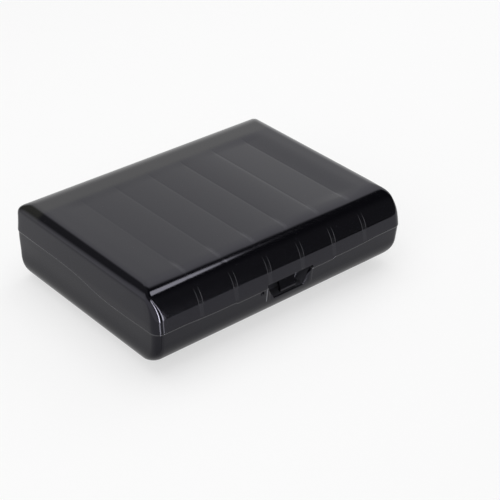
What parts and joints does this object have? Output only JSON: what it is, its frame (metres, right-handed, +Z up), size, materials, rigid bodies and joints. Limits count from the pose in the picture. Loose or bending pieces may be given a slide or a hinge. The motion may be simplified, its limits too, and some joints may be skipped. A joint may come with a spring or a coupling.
{
  "type": "hinged storage organizer case",
  "caption": "Glossy black flat organizer case with a hinged lid, a thumb notch with a snap tongue in front, and a row of lift-out bins with slide-in dividers.",
  "frame": {"origin": "on the surface the case stands on, under the middle of its overall length and depth, hinge barrels included", "axes": "+X to the right along the longest side, -Y out of the front with the thumb notch, +Y out of the back with the hinges, +Z up"},
  "size_m": [0.16, 0.12, 0.045],
  "materials": {
    "black_shell": "high gloss moulded black plastic with faint sink marks over the ribs",
    "bin_plastic": "satin moulded natural white plastic",
    "divider_plastic": "satin moulded pale grey plastic",
    "pin_steel": "drawn steel wire"
  },
  "bodies": {
    "base": {"base_shell": "black_shell", "hinge_pin_left": "pin_steel", "hinge_pin_right": "pin_steel", "bin_1": "bin_plastic", "divider_1_1": "divider_plastic", "divider_1_2": "divider_plastic", "divider_1_3": "divider_plastic", "bin_2": "bin_plastic", "divider_2_1": "divider_plastic", "divider_2_2": "divider_plastic", "divider_2_3": "divider_plastic", "bin_3": "bin_plastic", "divider_3_1": "divider_plastic", "divider_3_2": "divider_plastic", "divider_3_3": "divider_plastic", "bin_4": "bin_plastic", "divider_4_1": "divider_plastic", "divider_4_2": "divider_plastic", "divider_4_3": "divider_plastic", "bin_5": "bin_plastic", "divider_5_1": "divider_plastic", "divider_5_2": "divider_plastic", "divider_5_3": "divider_plastic", "bin_6": "bin_plastic", "divider_6_1": "divider_plastic", "divider_6_2": "divider_plastic", "divider_6_3": "divider_plastic", "bin_7": "bin_plastic", "divider_7_1": "divider_plastic", "divider_7_2": "divider_plastic", "divider_7_3": "divider_plastic"},
    "lid": {"lid_shell": "black_shell"}
  },
  "joints": [
    {"name": "lid_hinge", "type": "hinge", "parent": "base", "child": "lid", "pos_m": [0, 0.0583, 0.02975], "axis": [-1, 0, 0], "range_deg": [0, 125]}
  ]
}
